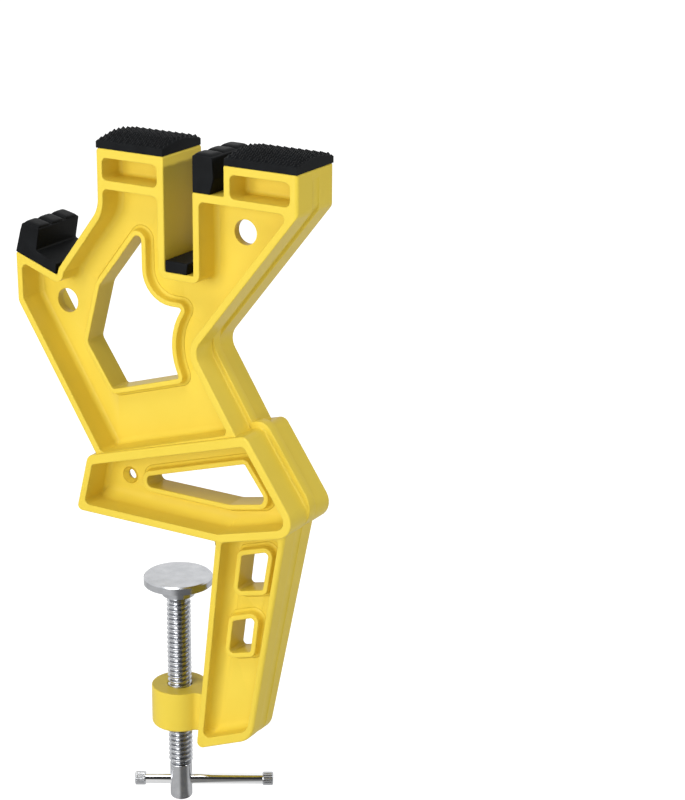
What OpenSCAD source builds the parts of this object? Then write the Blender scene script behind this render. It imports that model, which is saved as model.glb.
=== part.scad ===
// Ski tuning vise: a moulded clamp frame that carries rubber pads for the ski,
// and a clamp screw that holds the frame to the edge of a table.
// Millimetres. The origin is where the screw axis meets the underside of the foot,
// +Z runs up the screw axis and +X towards the leg of the clamp.

/* [Frame depths] */
// Depth of the upper body, front to back
body_d = 37.5; // [34:0.5:40]
// Depth of the foot, which stands proud of the upper body
foot_d = 42; // [41:0.5:48]
// Depth of the leg where it meets the foot
leg_top_d = 32; // [28:0.5:36]
// Depth of the leg at its lower end
leg_low_d = 22.5; // [20:0.5:28]
// Thickness of the web between the front and the back pockets
web_t = 5; // [3:0.5:8]
// Thickness of the raised bead round each window
bead_t = 15.5; // [9:0.5:20]
// Width of the raised bead
bead_w = 3; // [2:0.25:3.5]
// Thickness of the band that stands out round the middle of the lower right wall
band_t = 6.4; // [4:0.2:9]
// How far the band stands out from the upper body
body_band_h = 3; // [1:0.1:3.5]
// How far the band stands out from the foot
foot_band_h = 3.8; // [1:0.1:4]

/* [Ski supports] */
// Height of the flat tops above the table
top_z = 214; // [210:0.5:225]
// Width of the left tower
tower_w = 44; // [42:0.5:45]
// Width of the slot that holds a ski on edge
slot_w = 18.5; // [18:0.25:19.5]
// Height of the slot floor above the table
slot_floor_z = 150.5; // [149:0.5:153]
// How far the ledge beside the slot lies below the flat tops
ledge_drop = 17; // [15:0.5:19]
// Right end of the frame
block_x = 91.3; // [90:0.1:95]

/* [Web holes] */
// Diameter of the two round holes in the web
web_hole_d = 14; // [8:0.5:15]
// Diameter of the small hole in the foot
tie_hole_d = 5.5; // [4:0.5:6]

/* [Rubber pads] */
// Height of the pads on the two flat tops along their middle
top_pad_h = 8.1; // [6:0.1:10]
// How far a top pad falls away from its middle to its front and back
top_pad_fall = 2.6; // [0:0.1:4]
// How far the top pads stop short of the slot and the groove
top_pad_inset = 0.5; // [0:0.1:2]
// Height of the three domes on the cradle pad and on the ledge pad
dome_h = 1.5; // [0.8:0.1:2]
// Height of the pad on the slot floor
slot_pad_h = 6.5; // [3:0.5:9]

/* [Clamp screw] */
// Outside diameter of the trapezoidal thread
thread_d = 14; // [13:0.5:14]
// Pitch of the thread
pitch = 3; // [2:0.5:4]
// Depth of the thread
thread_depth = 1.75; // [1:0.25:1.75]
// Clearance between the thread crests and the boss, on the radius
thread_fit = 0.08; // [0.05:0.01:0.1]
// Outside diameter of the boss
boss_d = 33; // [28:0.5:34]
// Height of the boss
boss_h = 24.5; // [18:0.1:25]
// Height of the boss's upper face, below the table seat
boss_top_z = -104.8; // [-106:0.1:-104.8]
// Diameter of the hub that holds the handle bar
hub_d = 13; // [11.5:0.1:13.4]

/* [Handle bar] */
// Diameter of the handle bar
bar_d = 6.5; // [5:0.1:7]
// Clearance of the bar in the hub, on the radius
bar_fit = 0.08; // [0.05:0.01:0.1]
// Height of the bar's axis above the hub's lower end
bar_rise = 11.4; // [10.9:0.1:11.9]
// Where the bar's left end lies, measured along it from the screw axis
bar_from = -27.3; // [-40:0.1:-22]
// Where the bar's right end lies
bar_to = 54.8; // [40:0.1:60]
// Angle of the bar from +X at rest
bar_angle = 30.8; // [0:0.1:90]
// Diameter of the caps on the bar's ends
cap_d = 8; // [7.5:0.1:9]
// Length of each cap
cap_len = 6.3; // [5:0.1:8]

/* [Pressing shoe] */
// Thickness of the table that the vise is shown on
table_t = 36; // [20:1:38]
// Diameter of the shoe's disc
shoe_d = 40; // [30:1:42]
// Thickness of the disc
shoe_t = 4.6; // [4:0.1:6]
// Diameter of the ball at the screw's end
ball_d = 10.4; // [9:0.1:10.4]
// Clearance of the ball in its socket, on the radius
ball_fit = 0.1; // [0.05:0.01:0.15]
// Diameter of the snap ring's wire
ring_wire_d = 1.2; // [1:0.1:1.2]

/* [Hidden] */

yellow = "gold";
rubber = [0.09, 0.095, 0.105];
steel = "silver";
eps = 0.01;
$fn = 64;

slot_x0 = 7;
tower_x = slot_x0 - tower_w;
slot_x1 = slot_x0 + slot_w;
block_x0 = slot_x1 + 20;
ledge_z = top_z - ledge_drop;
crossbar_z = ledge_z - 0.6;
crossbar_t = 5;
ledge_rim = 4.8;
pocket_r = 3;
band_x = 49.3;

// Outlines are seen from the front, counter-clockwise. A row is x, z, the corner's
// radius, and the width of the rim along the edge that starts at that corner.
body_outline = [
    [-40.7, 34.5, 0, 0],
    [53.7, 61.5, 0, 4.2],
    [24.7, 107.5, 10, 4.2],
    [block_x, 191.7, 6, 4.8],
    [block_x, top_z, 1.5, 4.6],
    [block_x0, top_z, 1, 4],
    [block_x0, ledge_z, 0.8, ledge_rim],
    [slot_x1, ledge_z, 1, 4.2],
    [slot_x1, slot_floor_z, 1, 4],
    [slot_x0, slot_floor_z, 1, 4.4],
    [slot_x0, top_z, 1.5, 5.2],
    [tower_x, top_z, 2, 3.6],
    [tower_x, 179.7, 18, 4],
    [-65.2, 142.2, 3, 4],
    [-66.5, 138, 0.5, 4.4],
    [-94.9, 147.8, 1, 3.7],
    [-94.5, 118.7, 7, 4.2]
];
foot_outline = [
    [-56, 0, 3, 4.6],
    [43, 0, 1, 5],
    [95.3, 14, 10.4, 4.7],
    [60, 66, 5, 5.6],
    [-47.3, 34.6, 6, 4.3]
];
leg_outline = [
    [18.4, -138.2, 3, 5.5],
    [56.6, -122.4, 13, 3.3],
    [82.6, 13.8, 0, 3.7],
    [43, 2.2, 0, 3.7],
    [36.8, 2.2, 0, 3.8]
];

// Windows through the web, in the same form without the rim
big_window = [
    [-37.7, 72.4, 2],
    [7.6, 86.4, 1.5],
    [-1.1, 108.9, 38],
    [10.3, 127.4, 1.2],
    [-16, 127.3, 19],
    [-16.3, 169.8, 2.7],
    [-45.4, 132.3, 8],
    [-54.7, 97.9, 4]
];
foot_window = [
    [-15.3, 17.9, 3],
    [40.5, 17.9, 8],
    [66, 23.2, 4],
    [50.6, 43.9, 1.5],
    [-15.3, 24, 2.8]
];
leg_window_high = [[45.5, -33.3, 2], [62.4, -29, 2], [66.4, -5.3, 2], [48.5, -11, 2]];
leg_window_low = [[39.6, -73.2, 2], [54, -69.1, 2], [57, -47.2, 2], [42.4, -52.5, 2]];
windows = [big_window, foot_window, leg_window_high, leg_window_low];

web_holes = [[48.9, 174.7], [-71.6, 118.5]];
tie_hole = [-30.3, 20.4];
tie_collar_d = 10;
tie_collar_t = web_t + 2;

// Rubber pads, as outlines seen from the front
cradle_pad_outline = [
    [-94.9, 147.8, 0.3],
    [-67.2, 138.25, 0.3],
    [-66.8, 144.1, 1],
    [-80.5, 150.1, 1.2],
    [-78, 162.8, 0.8],
    [-89.7, 165.2, 1.5],
    [-91.3, 160.8, 4]
];
ledge_pad_x = slot_x1 + 0.3;
ledge_pad_h = 20.3;
ledge_pad_low_w = 11;
ledge_pad_belly_w = 13.5;
ledge_pad_belly_h = 8.5;
ledge_pad_top_w = 12.8;
ledge_pad_outline = [
    [ledge_pad_x, ledge_z, 0.3],
    [ledge_pad_x + ledge_pad_low_w, ledge_z, 0.3],
    [ledge_pad_x + ledge_pad_belly_w, ledge_z + ledge_pad_belly_h, 3],
    [ledge_pad_x + ledge_pad_top_w, ledge_z + ledge_pad_h, 1],
    [ledge_pad_x, ledge_z + ledge_pad_h, 1]
];
slot_pad_x = slot_x0 + 0.5;
slot_pad_low_w = 13.7;
slot_pad_top_w = 14.8;
slot_pad_outline = [
    [slot_pad_x, slot_floor_z, 0.3],
    [slot_pad_x + slot_pad_low_w, slot_floor_z, 0.3],
    [slot_pad_x + slot_pad_top_w, slot_floor_z + slot_pad_h, 0.8],
    [slot_pad_x, slot_floor_z + slot_pad_h, 0.8]
];
dome_count = 3;
dome_pitch = body_d / dome_count;
dome_half = dome_pitch * 0.46;
dome_r = (pow(dome_half, 2) + pow(dome_h, 2)) / (2 * dome_h);
dome_margin = 1.2;

// Clamp screw and shoe, worked out from the table that is being clamped
boss_low_z = boss_top_z - boss_h;
thread_r = thread_d / 2;
root_r = thread_r - thread_depth;
bore_r = thread_r + thread_fit;
hub_top_z = -156.6;
hub_low_z = -178.8;
bar_z = hub_low_z + bar_rise;
shoe_top_z = -table_t;
socket_r = ball_d / 2 + ball_fit;
socket_roof = 1.6;
ball_z = shoe_top_z - socket_roof - socket_r;
ball_neck_r = 3.5;
collar_r = 9.5;
collar_low_z = ball_z - 4.9;
ring_r = 5;
ring_z = ball_z - 3.2;
ring_gap = 40;
groove_r = ring_r + ring_wire_d / 2 + 0.35;
groove_half = ring_wire_d / 2 + 0.45;
mouth_r = 5.5;
thread_top_z = collar_low_z - 2;
neck_w = 13;

// Unit vector along the edge that leaves corner i of outline o
function edge(o, i) =
    let (a = o[i % len(o)], b = o[(i + 1) % len(o)], d = [b.x - a.x, b.y - a.y]) d / norm(d);

// The same vector turned to the left, which points into the outline
function inward(v) = [-v.y, v.x];

// Corner i when the edges before and after it move inwards by wa and wb
function moved_corner(o, i, wa, wb) =
    let (
        a = edge(o, i + len(o) - 1),
        b = edge(o, i),
        p = [o[i].x, o[i].y],
        pa = p + inward(a) * wa,
        pb = p + inward(b) * wb,
        along = cross(pb - pa, b) / cross(a, b)
    )
    pa + a * along;

// The outline with each edge moved inwards by its rim width
function inset(o) = [
    for (i = [0 : len(o) - 1])
        let (
            before = o[(i + len(o) - 1) % len(o)][3],
            after = o[i][3],
            turn = cross(edge(o, i + len(o) - 1), edge(o, i)),
            r = turn > 0 ? max(o[i][2] - after, pocket_r) : o[i][2] + after,
            p = moved_corner(o, i, before, after)
        )
        [p.x, p.y, r]
];

// The outline with every edge moved outwards by w
function grown(o, w) = [
    for (i = [0 : len(o) - 1])
        let (
            turn = cross(edge(o, i + len(o) - 1), edge(o, i)),
            p = moved_corner(o, i, -w, -w)
        )
        [p.x, p.y, max(turn > 0 ? o[i][2] + w : o[i][2] - w, 0)]
];

// The outline's points, with an arc of the stated radius at each corner
function rounded(o) = [
    for (i = [0 : len(o) - 1])
        let (
            a = edge(o, i + len(o) - 1),
            b = edge(o, i),
            turn = atan2(cross(a, b), a * b),
            side = sign(turn),
            r = o[i][2],
            centre = [o[i].x, o[i].y] - a * r * tan(abs(turn) / 2) + inward(a) * r * side,
            steps = r == 0 ? 0 : max(2, ceil(abs(turn) / 12))
        )
        for (k = [0 : steps])
            steps == 0
                ? [o[i].x, o[i].y]
                : let (t = turn * k / steps)
                    centre - inward(a) * r * side * cos(t) + a * r * side * sin(t)
];

// The four corners of a rectangle
function box_points(x0, x1, z0, z1) = [[x0, z0], [x1, z0], [x1, z1], [x0, z1]];

// An outline extruded front to back between two depths
module slab(points, y0, y1) {
    translate([0, y1, 0])
        rotate([90, 0, 0])
            linear_extrude(y1 - y0)
                polygon(points);
}

// An outline extruded to a depth that is centred on the middle of the frame
module centred_slab(points, depth) {
    slab(points, -depth / 2, depth / 2);
}

// Front and back pockets that leave the web and the beads standing
module pockets(points, depth) {
    difference() {
        slab(points, -depth / 2 - 1, depth / 2 + 1);
        slab(points, -web_t / 2, web_t / 2);
        for (w = windows)
            centred_slab(rounded(grown(w, bead_w)), bead_t);
    }
}

// Band round the middle of a wall, standing out by h along the edges from first to last
module band(o, first, last, h) {
    stepped = [
        for (i = [0 : len(o) - 1])
            [o[i].x, o[i].y, o[i][2], i >= first && i <= last ? -h : 0]
    ];
    difference() {
        centred_slab(rounded(inset(stepped)), band_t);
        centred_slab(rounded(inset(o)), band_t + 1);
    }
}

// The two crossbars that close the main pocket below the flat tops
module crossbars() {
    centred_slab(box_points(tower_x + 1, slot_x0 - 1, crossbar_z - crossbar_t, crossbar_z), body_d);
    centred_slab(box_points(block_x0 + 1, block_x - 1, ledge_z - ledge_rim, crossbar_z), body_d);
}

module upper_body() {
    difference() {
        centred_slab(rounded(body_outline), body_d);
        pockets(rounded(inset(body_outline)), body_d);
    }
    band(body_outline, 1, 1, body_band_h);
    crossbars();
}

module foot() {
    difference() {
        centred_slab(rounded(foot_outline), foot_d);
        pockets(rounded(inset(foot_outline)), foot_d);
    }
    intersection() {
        band(foot_outline, 2, 3, foot_band_h);
        centred_slab(box_points(band_x, block_x, 0, ledge_z), foot_d);
    }
    translate([tie_hole.x, tie_collar_t / 2, tie_hole.y])
        rotate([90, 0, 0])
            cylinder(d = tie_collar_d, h = tie_collar_t);
}

// The leg's side view is cut from a wedge that narrows towards the lower end
module leg() {
    top = 14;
    low = -139;
    intersection() {
        union() {
            difference() {
                centred_slab(rounded(leg_outline), leg_top_d);
                pockets(rounded(inset(leg_outline)), leg_top_d);
            }
            jaw_fillet();
        }
        rotate([90, 0, 90])
            linear_extrude(2 * block_x)
                polygon([
                    [-leg_low_d / 2, low],
                    [leg_low_d / 2, low],
                    [leg_top_d / 2, top],
                    [-leg_top_d / 2, top]
                ]);
    }
}

// X of the leg's face on the table side, at height z
function leg_face_x(z) =
    let (low = leg_outline[0], high = leg_outline[4])
    low.x + (high.x - low.x) * (z - low.y) / (high.y - low.y);

// Fillet between the table seat and the leg
module jaw_fillet() {
    r = 4;
    reach = 8;
    bite = 2;
    centred_slab(
        rounded([
            [leg_face_x(-reach), -reach, 0],
            [leg_face_x(-reach) + bite, -reach, 0],
            [leg_face_x(0) + bite, bite, 0],
            [leg_face_x(0) - reach, bite, 0],
            [leg_face_x(0) - reach, 0, 0],
            [leg_face_x(0), 0, r]
        ]),
        leg_top_d
    );
}

// Boss for the screw, with the neck that joins it to the leg
module boss() {
    join_x = leg_face_x(boss_top_z) + 0.3;
    flare = 1.3;
    neck_plan = [
        [8, -12.5, 0],
        [15.3, -neck_w / 2, 4],
        [join_x - 0.8, -neck_w / 2, 1.5],
        [join_x, -neck_w / 2 - flare, 0],
        [join_x, neck_w / 2 + flare, 0],
        [join_x - 0.8, neck_w / 2, 1.5],
        [15.3, neck_w / 2, 4],
        [8, 12.5, 0]
    ];
    chamfer = 1;
    translate([0, 0, boss_low_z]) {
        cylinder(d = boss_d, h = boss_h - chamfer);
        linear_extrude(boss_h)
            polygon(rounded(neck_plan));
        translate([0, 0, boss_h - chamfer])
            cylinder(r1 = boss_d / 2, r2 = boss_d / 2 - chamfer, h = chamfer);
    }
}

module clamp_frame() {
    color(yellow)
        difference() {
            union() {
                upper_body();
                foot();
                leg();
                boss();
            }
            for (w = windows)
                centred_slab(rounded(w), foot_d);
            for (p = web_holes)
                translate([p.x, foot_d / 2, p.y])
                    rotate([90, 0, 0])
                        cylinder(d = web_hole_d, h = foot_d);
            translate([tie_hole.x, foot_d / 2, tie_hole.y])
                rotate([90, 0, 0])
                    cylinder(d = tie_hole_d, h = foot_d);
            translate([0, 0, boss_low_z - 1])
                cylinder(r = bore_r, h = boss_h + 2);
        }
}

// A rubber block on one of the towers. Its upper side falls away from a flat strip along
// the middle to the front and the back; its studded face is simplified to their tips.
module top_pad(x0, x1) {
    strip = 4;
    edge_z = top_z + top_pad_h - top_pad_fall;
    color(rubber)
        translate([x0, 0, 0])
            rotate([90, 0, 90])
                linear_extrude(x1 - x0)
                    polygon(rounded([
                        [-body_d / 2, top_z, 0],
                        [body_d / 2, top_z, 0],
                        [body_d / 2, edge_z, 0.6],
                        [strip, top_z + top_pad_h, 4],
                        [-strip, top_z + top_pad_h, 4],
                        [-body_d / 2, edge_z, 0.6]
                    ]));
}

module top_pad_left() {
    top_pad(tower_x, slot_x0 - top_pad_inset);
}

module top_pad_right() {
    top_pad(block_x0 + top_pad_inset, block_x - 0.3);
}

// Corner i of a pad's outline, without its radius
function pad_corner(o, i) = [o[i].x, o[i].y];

// A row of domes along the depth, round bars that lie across a pad's upper edge,
// which runs from a to b
module domes(a, b) {
    at = (a + b) / 2;
    length = norm(b - a) - 2 * dome_margin;
    tilt = atan2(b.y - a.y, b.x - a.x);
    for (k = [0 : dome_count - 1])
        translate([at.x, (k - (dome_count - 1) / 2) * dome_pitch, at.y])
            rotate([0, -tilt, 0])
                intersection() {
                    translate([-length / 2, 0, dome_h - dome_r])
                        rotate([0, 90, 0])
                            cylinder(r = dome_r, h = length);
                    translate([-length / 2, -dome_half, -1])
                        cube([length, 2 * dome_half, dome_h + 2]);
                }
}

// L-shaped pad on the cradle, which holds a ski's edge against the tower
module cradle_pad() {
    color(rubber) {
        centred_slab(rounded(cradle_pad_outline), body_d);
        domes(pad_corner(cradle_pad_outline, 5), pad_corner(cradle_pad_outline, 4));
    }
}

module ledge_pad() {
    color(rubber) {
        centred_slab(rounded(ledge_pad_outline), body_d);
        domes(pad_corner(ledge_pad_outline, 4), pad_corner(ledge_pad_outline, 3));
    }
}

module slot_pad() {
    color(rubber)
        centred_slab(rounded(slot_pad_outline), body_d);
}

// Half profile of the thread: one trapezoidal ring for each turn
function thread_profile(z0, z1) = [
    [0, z0],
    [root_r, z0],
    for (k = [0 : floor((z1 - z0) / pitch) - 1])
        let (z = z0 + pitch * k)
            each [
                [root_r, z + pitch * 0.18],
                [thread_r, z + pitch * 0.34],
                [thread_r, z + pitch * 0.66],
                [root_r, z + pitch * 0.82]
            ],
    [root_r, z1],
    [0, z1]
];

// Spindle with its ball end above and its cross-drilled hub below
module clamp_screw() {
    hub_round = 1.2;
    color(steel)
        difference() {
            union() {
                rotate_extrude()
                    polygon(thread_profile(hub_top_z, thread_top_z));
                translate([0, 0, thread_top_z - eps])
                    cylinder(r = ball_neck_r, h = ball_z - thread_top_z);
                translate([0, 0, ball_z])
                    sphere(d = ball_d);
                translate([0, 0, hub_low_z + hub_round])
                    cylinder(d = hub_d, h = hub_top_z - hub_low_z - hub_round);
                translate([0, 0, hub_low_z])
                    cylinder(r1 = hub_d / 2 - hub_round, r2 = hub_d / 2, h = hub_round);
            }
            bar_frame(-hub_d)
                cylinder(d = bar_d + 2 * bar_fit, h = 2 * hub_d);
        }
}

// Puts +Z along the handle bar, starting at a distance along it
module bar_frame(along) {
    translate([0, 0, bar_z])
        rotate([0, 0, bar_angle])
            translate([along, 0, 0])
                rotate([0, 90, 0])
                    children();
}

module handle_bar() {
    color(steel)
        bar_frame(bar_from + 1)
            cylinder(d = bar_d, h = bar_to - bar_from - 2);
}

// Knurled cap pressed on the end of the bar, bored from its inner face
module bar_cap() {
    chamfer = 0.6;
    difference() {
        union() {
            cylinder(r1 = cap_d / 2 - chamfer, r2 = cap_d / 2, h = chamfer);
            translate([0, 0, chamfer])
                cylinder(d = cap_d, h = cap_len - 2 * chamfer);
            translate([0, 0, cap_len - chamfer])
                cylinder(r1 = cap_d / 2, r2 = cap_d / 2 - chamfer, h = chamfer);
        }
        translate([0, 0, 1])
            cylinder(d = bar_d, h = cap_len);
    }
}

module bar_cap_left() {
    color(steel)
        bar_frame(bar_from)
            bar_cap();
}

module bar_cap_right() {
    color(steel)
        bar_frame(bar_to)
            rotate([180, 0, 0])
                bar_cap();
}

// Disc that presses on the table from below, with a socket for the ball
module shoe_plate() {
    chamfer = 0.8;
    color(steel)
        difference() {
            union() {
                translate([0, 0, shoe_top_z - chamfer])
                    cylinder(r1 = shoe_d / 2, r2 = shoe_d / 2 - chamfer, h = chamfer);
                translate([0, 0, shoe_top_z - shoe_t])
                    cylinder(d = shoe_d, h = shoe_t - chamfer);
                translate([0, 0, collar_low_z])
                    cylinder(r = collar_r, h = shoe_top_z - shoe_t - collar_low_z + eps);
            }
            translate([0, 0, ball_z])
                sphere(r = socket_r);
            translate([0, 0, collar_low_z - 1])
                cylinder(r = mouth_r, h = ball_z - collar_low_z + 1);
            translate([0, 0, ring_z - groove_half])
                cylinder(r = groove_r, h = 2 * groove_half);
        }
}

// Open wire ring in the collar's groove that keeps the ball in its socket
module shoe_snap_ring() {
    color(steel)
        translate([0, 0, ring_z])
            rotate([0, 0, ring_gap / 2])
                rotate_extrude(angle = 360 - ring_gap)
                    translate([ring_r, 0])
                        circle(d = ring_wire_d);
}

clamp_frame();
top_pad_left();
top_pad_right();
cradle_pad();
ledge_pad();
slot_pad();
clamp_screw();
handle_bar();
bar_cap_left();
bar_cap_right();
shoe_plate();
shoe_snap_ring();
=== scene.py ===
import math

import bmesh
import bpy
import numpy as np
from mathutils import Matrix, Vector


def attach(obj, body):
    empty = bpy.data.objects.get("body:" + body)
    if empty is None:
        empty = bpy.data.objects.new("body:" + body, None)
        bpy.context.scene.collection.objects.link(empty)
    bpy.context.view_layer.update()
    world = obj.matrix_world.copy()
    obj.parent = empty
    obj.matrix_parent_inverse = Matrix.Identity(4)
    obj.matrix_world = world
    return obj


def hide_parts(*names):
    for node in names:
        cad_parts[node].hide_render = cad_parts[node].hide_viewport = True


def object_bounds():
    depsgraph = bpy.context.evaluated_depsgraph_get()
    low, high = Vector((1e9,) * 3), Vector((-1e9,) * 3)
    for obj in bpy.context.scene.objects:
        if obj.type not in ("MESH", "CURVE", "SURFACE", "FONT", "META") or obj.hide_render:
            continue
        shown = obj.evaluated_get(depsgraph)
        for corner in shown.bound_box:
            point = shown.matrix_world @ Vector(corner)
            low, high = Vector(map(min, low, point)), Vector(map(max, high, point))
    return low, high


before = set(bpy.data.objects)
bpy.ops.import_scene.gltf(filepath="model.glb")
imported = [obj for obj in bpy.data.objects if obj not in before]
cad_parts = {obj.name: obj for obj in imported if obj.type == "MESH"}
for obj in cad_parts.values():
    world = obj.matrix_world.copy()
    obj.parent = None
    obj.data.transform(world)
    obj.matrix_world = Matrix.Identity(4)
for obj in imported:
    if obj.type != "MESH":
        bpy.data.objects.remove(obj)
cad_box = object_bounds()

# Camera. It looks down a little from the right of the front.
FOCAL_PIXELS = 2244.9
IMAGE_WIDTH = 685
SENSOR_MM = 36.0
EYE = (0.6828, -0.9886, 0.4732)
YAW, ELEVATION, ROLL = np.radians([30.144, 18.545, 0.541])
FARTHEST = 50
back = np.array(
    [
        math.sin(YAW) * math.cos(ELEVATION),
        -math.cos(YAW) * math.cos(ELEVATION),
        math.sin(ELEVATION),
    ]
)
level = np.array([math.cos(YAW), math.sin(YAW), 0.0])
upright = np.cross(back, level)
right = math.cos(ROLL) * level + math.sin(ROLL) * upright
up = math.cos(ROLL) * upright - math.sin(ROLL) * level
camera = bpy.data.objects.new("camera", bpy.data.cameras.new("camera"))
stand = np.eye(4)
stand[:3, :3] = np.stack([right, up, back], axis=1)
stand[:3, 3] = EYE
camera.matrix_world = Matrix(stand.tolist())
camera.data.sensor_fit = "HORIZONTAL"
camera.data.sensor_width = SENSOR_MM
camera.data.lens = FOCAL_PIXELS * SENSOR_MM / IMAGE_WIDTH
camera.data.clip_end = FARTHEST
bpy.context.collection.objects.link(camera)
bpy.context.scene.camera = camera
bpy.context.scene.view_settings.view_transform = "Standard"


# Studio. A white floor and background, a large soft light from the front, one from above,
# a small one from the right and a weak one from the camera's side. In mirrored rays the
# room is dark on the camera's right, so that bright metal has a dark edge.
class Wire:
    """A shader socket that takes arithmetic: every operator adds one Math node."""

    def __init__(self, tree, socket):
        self.tree = tree
        self.socket = socket

    def calculate(self, operation, *values):
        maths = self.tree.nodes.new("ShaderNodeMath")
        maths.operation = operation
        for place, value in zip(maths.inputs, values):
            if isinstance(value, Wire):
                self.tree.links.new(value.socket, place)
            else:
                place.default_value = value
        return Wire(self.tree, maths.outputs[0])

    def __add__(self, other):
        return self.calculate("ADD", self, other)

    def __radd__(self, other):
        return self.calculate("ADD", other, self)

    def __sub__(self, other):
        return self.calculate("SUBTRACT", self, other)

    def __rsub__(self, other):
        return self.calculate("SUBTRACT", other, self)

    def __mul__(self, other):
        return self.calculate("MULTIPLY", self, other)

    def __rmul__(self, other):
        return self.calculate("MULTIPLY", other, self)

    def within(self, low, high):
        """0 below low, 1 above high, and a straight run between them."""
        slope = (self - low) * (1 / (high - low))
        return self.calculate("MINIMUM", self.calculate("MAXIMUM", slope, 0.0), 1.0)


class Finish:
    """A node tree being wired: a material's, or the world's."""

    def __init__(self, owner):
        owner.use_nodes = True
        self.owner = owner
        self.tree = owner.node_tree
        self.tree.nodes.clear()

    def add(self, kind, settings=(), **values):
        """Adds a node, with its settings first and then its sockets' values or links.
        A socket is named by its label with _ for each space, or by its number after _."""
        node = self.tree.nodes.new(kind)
        for name, value in dict(settings).items():
            setattr(node, name, value)
        for name, value in values.items():
            label = name.replace("_", " ").strip()
            socket = node.inputs[int(label) if label.isdigit() else label]
            if isinstance(value, Wire):
                self.tree.links.new(value.socket, socket)
            else:
                socket.default_value = value
        return node

    def out(self, node, name=0):
        return Wire(self.tree, node.outputs[name])

    def noise(self, place, scale, detail):
        texture = self.add("ShaderNodeTexNoise", Vector=place, Scale=scale, Detail=detail)
        return self.out(texture, "Fac")

    def mix(self, amount, first, second):
        """A colour between two, each an RGBA value or a link."""
        node = self.add("ShaderNodeMix", {"data_type": "RGBA"}, _0=amount, _6=first, _7=second)
        return self.out(node, 2)

    def bump(self, height, distance, strength):
        node = self.add("ShaderNodeBump", Height=height, Distance=distance, Strength=strength)
        return self.out(node)

    def close(self, shader, target="ShaderNodeOutputMaterial"):
        self.add(target, Surface=self.out(shader))
        return self.owner


WHITE = (1, 1, 1, 1)
air = Finish(bpy.context.scene.world or bpy.data.worlds.new("studio"))
bpy.context.scene.world = air.owner
AMBIENT = 0.1
DARK_SIDE = (0.866, -0.5, 0.0)


def dark_share(finish, direction, low, high):
    """0 in the bright part of the room and 1 in the dark part, with a straight run between
    them where the direction's component towards the dark side goes from low to high."""
    towards = finish.add(
        "ShaderNodeVectorMath", {"operation": "DOT_PRODUCT"}, _0=direction, _1=DARK_SIDE
    )
    return finish.out(towards, "Value").within(low, high)


ROOM_BRIGHT, ROOM_DROP = 1.1, 1.06
path = air.add("ShaderNodeLightPath")
direction = air.out(air.add("ShaderNodeTexCoord"), "Generated")
mirrored_light = ROOM_BRIGHT - dark_share(air, direction, low=0.35, high=0.5) * ROOM_DROP
strength = air.out(path, "Is Glossy Ray") * mirrored_light
strength = strength + air.out(path, "Is Diffuse Ray") * AMBIENT
strength = strength + air.out(path, "Is Camera Ray") + air.out(path, "Is Transmission Ray")
air.close(air.add("ShaderNodeBackground", Color=WHITE, Strength=strength), "ShaderNodeOutputWorld")

FLOOR_Z = cad_box[0][2] - 0.001
FLOOR_HALF = 6.0
floor_corners = [
    (-FLOOR_HALF, -FLOOR_HALF, FLOOR_Z),
    (FLOOR_HALF, -FLOOR_HALF, FLOOR_Z),
    (FLOOR_HALF, FLOOR_HALF, FLOOR_Z),
    (-FLOOR_HALF, FLOOR_HALF, FLOOR_Z),
]
floor_mesh = bpy.data.meshes.new("floor")
floor_mesh.from_pydata(floor_corners, [], [(0, 1, 2, 3)])
floor = bpy.data.objects.new("floor", floor_mesh)
bpy.context.collection.objects.link(floor)

PAPER_BRIGHT, PAPER_DROP = 0.85, 0.8
PAPER_SEEN = 1.5
PAPER_GLOW = 0.72
PAPER_GREY = (0.8, 0.8, 0.8, 1)
paper = Finish(bpy.data.materials.new("white_paper"))
path = paper.add("ShaderNodeLightPath")
place = paper.out(paper.add("ShaderNodeTexCoord"), "Object")
flat = paper.add("ShaderNodeVectorMath", {"operation": "MULTIPLY"}, _0=place, _1=(1, 1, 0))
outwards = paper.add("ShaderNodeVectorMath", {"operation": "NORMALIZE"}, _0=paper.out(flat))
dark = dark_share(paper, paper.out(outwards), low=0.7, high=0.9)
mirrored_light = PAPER_BRIGHT - dark * PAPER_DROP
camera_ray, mirror_ray = paper.out(path, "Is Camera Ray"), paper.out(path, "Is Glossy Ray")
seen_light = camera_ray * PAPER_SEEN + mirror_ray * mirrored_light
lit = paper.add("ShaderNodeBsdfDiffuse", Color=PAPER_GREY)
glow = paper.add("ShaderNodeEmission", Color=WHITE, Strength=seen_light)
sheet_of_paper = paper.add(
    "ShaderNodeMixShader",
    _0=(camera_ray + mirror_ray) * PAPER_GLOW,
    _1=paper.out(lit),
    _2=paper.out(glow),
)
floor_mesh.materials.append(paper.close(sheet_of_paper))


MIDDLE = (0.0, 0.0, 0.03)
LIGHT_DISTANCE = 2.2


def soft_light(name, towards, size, power):
    """A square area light of a size and power, seen from the vise's middle in the direction
    towards and facing that middle."""
    lamp = bpy.data.lights.new(name, "AREA")
    lamp.energy = power
    lamp.size = size
    side = np.array(towards, float) / np.linalg.norm(towards)
    light = bpy.data.objects.new(name, lamp)
    across = np.cross([0, 0, 1], side)
    across /= np.linalg.norm(across)
    turn = np.stack([across, np.cross(side, across), side], axis=1)
    place = np.eye(4)
    place[:3, :3] = turn
    place[:3, 3] = np.array(MIDDLE) + side * LIGHT_DISTANCE
    light.matrix_world = Matrix(place.tolist())
    bpy.context.collection.objects.link(light)
    return light


soft_light("key_light", (-0.17, -0.97, 0.17), size=1.4, power=37.5)
soft_light("high_light", (0.0, -0.5, 0.87), size=1.0, power=15.5)
soft_light("right_light", (0.86, 0.08, 0.5), size=0.14, power=16)
# This one isn't mirrored in the metal, because it stands in the room's dark side.
camera_side_light = soft_light("fill_light", (0.6, -0.78, 0.12), size=0.7, power=6.5)
camera_side_light.visible_glossy = False


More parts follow.
